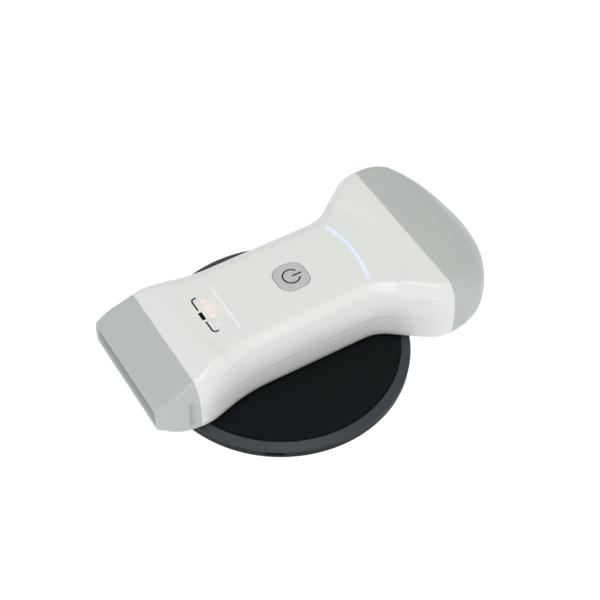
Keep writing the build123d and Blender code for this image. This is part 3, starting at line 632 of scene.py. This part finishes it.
# %% Noses
def nose(low, high):
    bm = keep_between(skin(True), low, high)
    under = keep_between(skin(False), low, high)
    mesh = bpy.data.meshes.new("under")
    under.to_mesh(mesh)
    under.free()
    bm.from_mesh(mesh)
    bpy.data.meshes.remove(mesh)
    outward(bm)
    return bm


LENS_HALF_LENGTH, LENS_HALF_HEIGHT, LENS_CORNER, LENS_GAP = 23.0, 4.0, 0.6, 0.04
WINDOW_CUT, WINDOW_LEAD = 2.0, 1.3
FACING_FRONT = Matrix.Rotation(-pi / 2, 4, "Y") @ Matrix.Rotation(pi / 2, 4, "Z")
straight = nose(front_face - 1, front_seam)
face_edges = [e for e in straight.edges if e.is_boundary and all(v.co.x < front_face + 0.01 for v in e.verts)]
bmesh.ops.contextual_create(straight, geom=face_edges)
bmesh.ops.recalc_face_normals(straight, faces=straight.faces)
window = pillow(LENS_HALF_LENGTH + LENS_GAP, LENS_HALF_HEIGHT + LENS_GAP, LENS_CORNER + LENS_GAP, WINDOW_CUT, 0, 0)
window_place = SCANNER @ Matrix.Translation((front_face - WINDOW_LEAD, 0, 0)) @ FACING_FRONT
window_cutter = mesh_object("window_cutter", window, window_place)
straight_nose = mesh_object("straight_nose_skin", straight, SCANNER)
piece(wall_and_rim(straight_nose, [window_cutter]), nose_grey, "nose_grey", "scanner", "linear_nose")
curved_nose = mesh_object("curved_nose_skin", nose(rear_seam, apex + 1), SCANNER)
piece(wall_and_rim(curved_nose), nose_grey, "nose_grey", "scanner", "convex_nose")

# %% [markdown]
# ## The lenses
# An acoustic lens is a strip of grey silicone that stands a little proud of
# its window, to focus the sound. The straight one is a plate, crowned across,
# that nearly fills the face. The curved one is a band that is spun round the
# head's centre and then drawn in to follow the lean of the wall.

# %% Lenses
LENS_THICK, LENS_CROWN, LENS_EDGE, LENS_PROUD = 1.2, 0.9, 0.12, 0.02
strip = pillow(LENS_HALF_LENGTH, LENS_HALF_HEIGHT, LENS_CORNER, LENS_THICK, LENS_CROWN, LENS_EDGE, cells=10)
lens_place = SCANNER @ Matrix.Translation((front_face - LENS_PROUD, 0, 0)) @ FACING_FRONT
straight_lens = mesh_object("straight_lens", strip, lens_place)
piece(straight_lens, lens_grey, "lens_grey", "scanner", "linear_lens")

CURVED_HALF_HEIGHT, CURVED_HALF_ANGLE, CURVED_THICK, CURVED_PROUD = 4.6, radians(37), 1.2, 0.15


def wall_inset(u, z):
    """How far the nose's wall leans in at a height over or under the parting line."""
    sizes, top = (top_sizes, True) if z > 0 else (keel_sizes, False)
    height = abs(deck(u, 0, top)) - (DISH_STEP if top else 0) - through(u, sizes["drop"])
    return through(u, sizes["lean"]) * (z / height) ** 2


band = bmesh.new()
bmesh.ops.create_grid(band, x_segments=1, y_segments=10, size=0.5)
lens_front = head_centre.x + head_radius + CURVED_PROUD
for v in band.verts:
    v.co = Vector((lens_front + (v.co.x - 0.5) * CURVED_THICK, 0, v.co.y * 2 * CURVED_HALF_HEIGHT))
bmesh.ops.rotate(band, verts=band.verts, cent=(head_centre.x, 0, 0),
                 matrix=Matrix.Rotation(-CURVED_HALF_ANGLE, 3, "Z"))
bmesh.ops.spin(band, geom=band.verts[:] + band.edges[:] + band.faces[:], cent=(head_centre.x, 0, 0), axis=(0, 0, 1),
               angle=2 * CURVED_HALF_ANGLE, steps=64, use_merge=False)
for v in band.verts:
    inward = (head_centre - v.co.xy).normalized() * wall_inset(v.co.x, v.co.z)
    v.co += Vector((inward.x, inward.y, 0))
outward(band)
piece(mesh_object("curved_lens", band, SCANNER), lens_grey, "lens_grey", "scanner", "convex_lens", sharp=50)

# %% [markdown]
# ## The power button
# A rounded square key with slightly bulged sides fills the hole, with a hair
# of gap all round. Its power mark is printed: an open circle and a bar, both
# drawn as one stroke that is extruded or spun along its path.

# %% Strokes
def stroke(bm, at, heading, width, thick, moves):
    """Draws a flat line: ("go", length) or ("turn", radius, angle), left turns positive."""
    made = bmesh.ops.create_grid(bm, x_segments=1, y_segments=1, size=0.5)["verts"]
    stand = Matrix.Rotation(heading, 4, "Z") @ Matrix.Rotation(pi / 2, 4, "Y") @ Matrix.Diagonal((thick, width, 1, 1))
    bmesh.ops.transform(bm, matrix=Matrix.Translation(at) @ stand, verts=made)
    face = made[0].link_faces[0]
    here = Vector(at)
    for move in moves:
        ahead = Vector((cos(heading), sin(heading), 0))
        if move[0] == "go":
            out = bmesh.ops.extrude_face_region(bm, geom=[face])["geom"]
            bmesh.ops.translate(bm, verts=[g for g in out if isinstance(g, bmesh.types.BMVert)], vec=ahead * move[1])
            here = here + ahead * move[1]
        else:
            side = 1 if move[2] > 0 else -1
            centre = here + Vector((-ahead.y, ahead.x, 0)) * move[1] * side
            steps = max(3, ceil(abs(move[2]) / radians(5)))
            out = bmesh.ops.spin(bm, geom=[face, *face.edges, *face.verts], cent=centre, axis=(0, 0, 1),
                                 angle=move[2], steps=steps, use_merge=False)["geom_last"]
            here = centre + Matrix.Rotation(move[2], 3, "Z") @ (here - centre)
            heading += move[2]
        face = next(g for g in out if isinstance(g, bmesh.types.BMFace))
    bmesh.ops.recalc_face_normals(bm, faces=bm.faces)
    return bm


button_top = (button_high.z - scanner_zero.z) / MM
PRINT = 0.03
button_place = SCANNER @ Matrix.Translation((0, 0, button_top))
CAP_THICK, CAP_EDGE = 2.2, 0.32
cap = pillow(BUTTON_HALF, BUTTON_HALF, BUTTON_CORNER, CAP_THICK, 0, CAP_EDGE, BUTTON_SWELL, cells=28)
piece(mesh_object("button_key", cap, button_place), button_grey, "button_grey", "button", "power_button")
MARK_RADIUS, MARK_WIDTH, MARK_GAP = 3.3, 0.6, radians(30)
MARK_BAR_START, MARK_BAR_LENGTH = 0.4, 3.9
mark = bmesh.new()
start = (MARK_RADIUS * cos(MARK_GAP), MARK_RADIUS * sin(MARK_GAP), 0)
stroke(mark, start, MARK_GAP + pi / 2, MARK_WIDTH, PRINT * 2, [("turn", MARK_RADIUS, 2 * pi - 2 * MARK_GAP)])
stroke(mark, (MARK_BAR_START, 0, 0), 0, MARK_WIDTH, PRINT * 2, [("go", MARK_BAR_LENGTH)])
piece(mesh_object("power_mark", mark, button_place), ink_maroon, "button_grey", "button")

# %% [markdown]
# ## Lamps and print on the deck
# The light guides sit flush in the deck. Each is a stroke or a small pillow
# that stands a few hundredths of a millimetre above it. The black battery
# brackets are printed, and they are lifted point by point to follow the
# dish's edge.

# %% Lamps
FLUSH, LAMP_DEPTH = 0.03, 0.8


def on_deck(bm, rise):
    for v in bm.verts:
        v.co.z += deck(v.co.x, v.co.y) + rise
    return bm


ARC_RADIUS, ARC_APEX, ARC_END, ARC_WIDTH = 46.7, 27.1, 15.65, 1.4
arc_half = asin(ARC_END / ARC_RADIUS)
arc_centre = ARC_APEX - ARC_RADIUS
arc_start = (arc_centre + ARC_RADIUS * cos(-arc_half), ARC_RADIUS * sin(-arc_half), 0)
lit_arc = stroke(bmesh.new(), arc_start, pi / 2 - arc_half, ARC_WIDTH, LAMP_DEPTH, [("turn", ARC_RADIUS, 2 * arc_half)])


def is_end_corner(edge):
    """An upright edge at one end of the strip, where its side turns the corner."""
    upright = abs(edge.verts[0].co.z - edge.verts[1].co.z) > 0.7
    four_sided = [f for f in edge.link_faces if len(f.edges) == 4]
    return upright and len(four_sided) == 2 and edge.calc_face_angle(0) > 1.0


ends = [e for e in lit_arc.edges if is_end_corner(e)]
bmesh.ops.bevel(lit_arc, geom=ends, offset=ARC_WIDTH * 0.48, segments=6, profile=0.5, affect="EDGES", material=-1)
piece(mesh_object("lit_arc", on_deck(lit_arc, FLUSH - LAMP_DEPTH / 2), SCANNER), guide_lit, "guide_lit", "scanner",
      "light_guide_arc")

BAR_AT, BAR_HALF, BAR_WIDTH = -28.55, 11.5, 1.15
bar = pillow(BAR_WIDTH / 2, BAR_HALF, BAR_WIDTH * 0.49, LAMP_DEPTH, 0, 0.05, cells=4)
bmesh.ops.translate(bar, verts=bar.verts, vec=(BAR_AT, 0, 0))
piece(mesh_object("unlit_bar", on_deck(bar, FLUSH), SCANNER), guide_unlit, "guide_unlit", "scanner",
      "light_guide_bar")

DOT_AT, DOT_HALF_LENGTH, DOT_HALF_WIDTH, DOT_CORNER = -34.4, 0.7, 0.9, 0.68


def dots(name, places, material, slot, *stands_for):
    bm = bmesh.new()
    for w in places:
        dot = pillow(DOT_HALF_LENGTH, DOT_HALF_WIDTH, DOT_CORNER, LAMP_DEPTH, 0, 0.06, cells=8)
        bmesh.ops.translate(dot, verts=dot.verts, vec=(DOT_AT, w, 0))
        mesh = bpy.data.meshes.new("dot")
        dot.to_mesh(mesh)
        dot.free()
        bm.from_mesh(mesh)
        bpy.data.meshes.remove(mesh)
    piece(mesh_object(name, on_deck(bm, FLUSH), SCANNER), material, slot, "scanner", *stands_for)


dots("lit_dots", (6.1, 2.2, -1.8), guide_warm, "guide_warm", "charge_light_pipe")
dots("unlit_dot", (-5.8,), guide_unlit, "guide_unlit")

# %% Battery brackets
BATTERY_AT, BRACKET_START, BRACKET_WIDTH = -38.0, 3.0, 0.6
CHARGE_START, CHARGE_WIDTH, PRINT_RISE = -1.9, 1.5, 0.02
print_marks = bmesh.new()
for side in (1, -1):
    stroke(print_marks, (BATTERY_AT, BRACKET_START * side, 0), side * pi / 2, BRACKET_WIDTH, PRINT * 2,
           [("go", 1.5)] * 3 + [("turn", 1.3, -side * pi / 2), ("go", 0.9)])
stroke(print_marks, (BATTERY_AT, CHARGE_START, 0), pi / 2, CHARGE_WIDTH, PRINT * 2, [("go", 0.95)] * 4)
piece(mesh_object("battery_print", on_deck(print_marks, PRINT_RISE), SCANNER), ink_black, "shell_white", "scanner")

# %% [markdown]
# ## The charging pad
# The pad is turned round one axis, so each of its rings is a small profile
# that is spun in a full circle. The metal ring slopes down outwards and has a
# bright edge. The mat is let into it and its rim is rounded over.

# %% Pad ring and mat
def turned(name, profile, rounded=()):
    """Spins a closed outline, given as (radius, height, rounding) corners, round the pad's axis."""
    bm = bmesh.new()
    corners = [bm.verts.new((r, 0, z)) for r, z, _ in profile]
    bm.faces.new(corners)
    for corner, (_, _, radius) in zip(corners, profile):
        if radius:
            bmesh.ops.bevel(bm, geom=[corner], offset=radius, segments=4, profile=0.5, affect="VERTICES", material=-1)
    bmesh.ops.spin(bm, geom=bm.verts[:] + bm.edges[:] + bm.faces[:], cent=(0, 0, 0), axis=(0, 0, 1),
                   angle=2 * pi, steps=180, use_merge=True)
    bmesh.ops.delete(bm, geom=[f for f in bm.faces if all(abs(v.co.y) < 1e-6 for v in f.verts)], context="FACES_ONLY")
    outward(bm)
    return mesh_object(name, bm, PAD)


ring_low, ring_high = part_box("pad_ring")
mat_low, mat_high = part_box("pad_mat")
ring_out, ring_top = (ring_high.x - ring_low.x) / 2 / MM, ring_high.z / MM
mat_out, mat_top, mat_bottom = (mat_high.x - mat_low.x) / 2 / MM, mat_high.z / MM, mat_low.z / MM
ring_in, ring_bottom, rim_drop = mat_out + 0.3, base_high.z / MM + 0.02, 1.4
ring = turned("pad_ring_turned", [(ring_in, ring_bottom, 0), (ring_out, ring_bottom, 0.05),
                                  (ring_out, ring_top - rim_drop, 0.22), (ring_in + 0.5, ring_top, 0.25),
                                  (ring_in, ring_top - 0.25, 0.1)])
piece(ring, pad_metal, "pad_metal", "charging_pad", "pad_ring", sharp=30)
mat = turned("pad_mat_turned", [(0.001, mat_bottom + 0.1, 0), (mat_out, mat_bottom + 0.1, 0),
                                (mat_out, mat_top, 0.35), (0.001, mat_top, 0)])
piece(mat, pad_mat, "pad_mat", "charging_pad", "pad_mat")

# %% [markdown]
# ## Seam seals
# Inside each seam a thin rubber lip keeps gel and water out. It is a narrow
# slice of the same skin, drawn in towards the middle by a little more than
# the wall, so nothing of it shows outside.

# %% Seam seals
LIP_SHRINK, LIP_THICK, LIP_LENGTH, LIP_GAP = (1, 0.93, 0.84), 0.7, 0.6, 0.02


def lip(name, low, high, *stands_for):
    bm = nose(low, high)
    bmesh.ops.scale(bm, verts=bm.verts, vec=LIP_SHRINK)
    made = mesh_object(name, bm, SCANNER)
    thick = made.modifiers.new("thick", "SOLIDIFY")
    thick.thickness, thick.offset = LIP_THICK * MM, -1
    settle(made)
    piece(made, seal_rubber, "seal_rubber", "scanner", *stands_for)


seal_rubber = finish("seal_rubber", screen(70, 72, 74), screen(60, 62, 64), 300, (0.6, 0.75), 2000, 0.2)
lip("straight_seam_lip", front_seam - LIP_LENGTH, front_seam - LIP_GAP, "linear_nose_seal")
lip("curved_seam_lip", rear_seam + LIP_GAP, rear_seam + LIP_LENGTH, "convex_nose_seal")

# %% [markdown]
# ## The parts that keep their measured shape
# Everything inside, and the pad's tray, foot and socket, is already right in
# shape. Those parts only get their materials: foil, copper wire, ferrite,
# circuit board, amber film and so on.

# %% Inner finishes
inner = {
    "seal_rubber": seal_rubber,
    "inner_plastic": finish("inner_plastic", screen(205, 205, 200), screen(196, 196, 192), 80, (0.45, 0.6), 3000, 0.15),
    "matching_layer": finish("matching_layer", screen(120, 92, 70), screen(104, 80, 62), 500, (0.4, 0.55), 2600, 0.1),
    "piezo_ceramic": finish("piezo_ceramic", screen(214, 196, 150), screen(200, 180, 136), 900, (0.5, 0.65), 2400, 0.2),
    "backing_block": finish("backing_block", screen(58, 56, 60), screen(44, 43, 47), 260, (0.6, 0.8), 1500, 0.4),
    "flex_amber": finish("flex_amber", screen(196, 122, 44), screen(178, 104, 34), 200, (0.25, 0.35), 2500, 0.1,
                         Coat_Weight=0.4),
    "board_green": finish("board_green", screen(28, 96, 58), screen(20, 78, 46), 420, (0.3, 0.45), 1800, 0.2,
                          Coat_Weight=0.5),
    "chip_black": finish("chip_black", screen(34, 34, 36), screen(26, 26, 28), 500, (0.55, 0.7), 3200, 0.2),
    "battery_foil": finish("battery_foil", screen(176, 180, 184), screen(158, 162, 168), 120, (0.25, 0.4), 700, 0.3,
                           0.0001, 0.9),
    "foam_black": finish("foam_black", screen(44, 44, 46), screen(30, 30, 32), 700, (0.85, 0.95), 1400, 0.9, 0.0002),
    "coil_copper": finish("coil_copper", screen(190, 108, 62), screen(166, 86, 46), 300, (0.25, 0.4), 2600, 0.3,
                          0.00005, 1.0),
    "ferrite": finish("ferrite", screen(62, 60, 60), screen(50, 48, 49), 200, (0.5, 0.65), 1900, 0.3),
    "screw_steel": finish("screw_steel", screen(150, 152, 156), screen(130, 132, 136), 400, (0.25, 0.4), 5000, 0.2,
                          0.00001, 1.0),
    "socket_steel": finish("socket_steel", screen(128, 130, 134), screen(112, 114, 118), 300, (0.3, 0.45), 4000, 0.2,
                           0.00001, 1.0),
    "button_grey": button_grey, "guide_unlit": guide_unlit, "guide_warm": guide_warm, "nose_grey": nose_grey,
    "shell_white": shell_white, "lens_grey": lens_grey, "guide_lit": guide_lit,
    "pad_plastic": pad_plastic, "pad_rubber": pad_rubber, "pad_metal": pad_metal, "pad_mat": pad_mat,
}
print("inner finishes:", len(inner))

# %% Dress the carried-over parts
slot_of = {part["node"]: part["material_slot"] for part in frame["record"]["subparts"]}
dressed = 0
for name, part in frame["nodes"].items():
    if not part.hide_render:
        part.data.materials.clear()
        part.data.materials.append(inner[slot_of[name]])
        dressed += 1
print("carried-over parts dressed:", dressed)

# %% [markdown]
# ## The white table and the light
# The object lies on a white table that is lit through, like the one used for
# cut-out catalogue pictures, so no shadow falls on it. A pale sky that is
# darker near the horizon gives the soft shading. A large warm panel overhead
# gives the highlights along the edges, and a weaker cool one low in front
# fills in the near side.

# %% Table and lights
TABLE_HALF, TABLE_DROP, TABLE_GLOW, SKY_GLOW = 4.0, 0.0002, 0.93, 0.76
table_mesh = bmesh.new()
bmesh.ops.create_grid(table_mesh, x_segments=1, y_segments=1, size=TABLE_HALF)
table = mesh_object("table", table_mesh, Matrix.Translation((pad_zero.x, pad_zero.y, -TABLE_DROP)))
glow = finish("table_white", screen(126, 126, 126), screen(122, 122, 122), 3, (0.8, 0.9), 300, 0.05, 0.0001,
              Emission_Color=(1, 1, 1, 1), Emission_Strength=TABLE_GLOW)
table.data.materials.append(glow)

world = bpy.data.worlds.new("room")
world.use_nodes = True
bpy.context.scene.world = world
sky = world.node_tree
sky_place, sky_parts, sky_tone = node(sky, "TexCoord"), node(sky, "SeparateXYZ"), node(sky, "ValToRGB")
tones = sky_tone.color_ramp
tones.elements[0].position, tones.elements[0].color = 0.0, (0.46, 0.50, 0.54, 1)
tones.elements[1].position, tones.elements[1].color = 1.0, (0.82, 0.83, 0.82, 1)
middle = tones.elements.new(0.35)
middle.color = (0.68, 0.73, 0.77, 1)
sky.links.new(sky_place.outputs["Generated"], sky_parts.inputs[0])
sky.links.new(sky_parts.outputs["Z"], sky_tone.inputs[0])
sky.links.new(sky_tone.outputs["Color"], sky.nodes["Background"].inputs["Color"])
sky.nodes["Background"].inputs["Strength"].default_value = SKY_GLOW


def panel(name, azimuth, elevation, distance, size, watts, colour=(1, 1, 1)):
    lamp_data = bpy.data.lights.new(name, "AREA")
    lamp_data.shape, lamp_data.size, lamp_data.energy, lamp_data.color = "DISK", size, watts, colour
    made = bpy.data.objects.new(name, lamp_data)
    away = Matrix.Rotation(radians(azimuth), 4, "Z") @ Matrix.Rotation(pi / 2 - radians(elevation), 4, "X")
    made.matrix_world = Matrix.Translation(scanner_zero) @ away @ Matrix.Translation((0, 0, distance))
    bpy.context.collection.objects.link(made)


panel("overhead", -20, 70, 1.2, 0.9, 6.9, (1.0, 0.98, 0.955))
panel("front", -48, 12, 1.4, 1.0, 1.8, (0.80, 0.93, 1.0))
print("lights:", len(bpy.data.lights))
